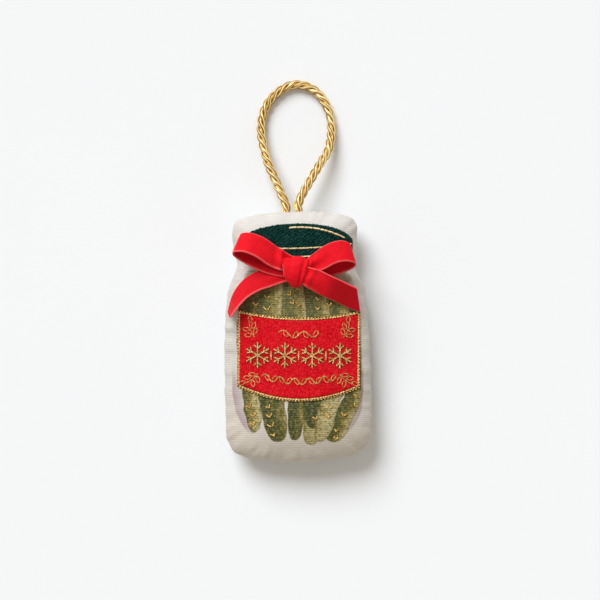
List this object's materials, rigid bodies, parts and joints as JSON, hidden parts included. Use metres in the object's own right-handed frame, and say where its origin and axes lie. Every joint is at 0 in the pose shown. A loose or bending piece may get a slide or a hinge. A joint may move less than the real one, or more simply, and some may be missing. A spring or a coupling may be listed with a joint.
{
  "type": "stuffed jar ornament",
  "caption": "Stuffed cloth ornament shaped like a jar of pickles, with an embroidered lid and label, a ribbon bow and a twisted hanging cord.",
  "frame": {"origin": "centre of the jar's box on the table that its back lies on, leaving out the hanging cord", "axes": "+Y from the jar's bottom to its lid and loop, +Z out of its front, +X across it to the right"},
  "size_m": [0.0702, 0.1828, 0.0364],
  "materials": {
    "cotton_cloth": "matt ribbed cotton, printed on the front",
    "fibre_fill": "loose polyester fibre",
    "green_thread": "fill stitch in rayon thread",
    "red_thread": "fill stitch in rayon thread",
    "gold_thread": "metallic thread",
    "gold_cord": "silky three-strand twist",
    "red_velvet": "velvet ribbon with a paler woven edge"
  },
  "bodies": {
    "jar": {"front_panel": "cotton_cloth", "back_panel": "cotton_cloth", "fibre_filling": "fibre_fill", "cord_end_left": "gold_cord", "cord_end_right": "gold_cord", "lid_embroidery": "green_thread", "lid_highlight_stitch": "gold_thread", "lid_rim_stitch": "gold_thread", "lid_band_stitch": "gold_thread", "label_embroidery": "red_thread", "label_border_braid": "gold_thread", "label_sprig_top_left": "gold_thread", "label_sprig_top_right": "gold_thread", "label_sprig_bottom_left": "gold_thread", "label_sprig_bottom_right": "gold_thread", "label_star_1": "gold_thread", "label_star_2": "gold_thread", "label_star_3": "gold_thread", "label_star_4": "gold_thread", "label_diamond_1": "gold_thread", "label_diamond_2": "gold_thread", "label_diamond_3": "gold_thread", "label_vine_top": "gold_thread", "label_vine_bottom": "gold_thread", "bow_loop_left": "red_velvet", "bow_loop_right": "red_velvet", "bow_tail_left": "red_velvet", "bow_tail_right": "red_velvet", "bow_knot": "red_velvet"},
    "hanging_loop": {"hanging_cord": "gold_cord"}
  },
  "joints": [
    {"name": "loop_fold", "type": "hinge", "parent": "jar", "child": "hanging_loop", "pos_m": [0, 0.0629, 0.012], "axis": [1, 0, 0], "range_deg": [-80, 105]}
  ]
}
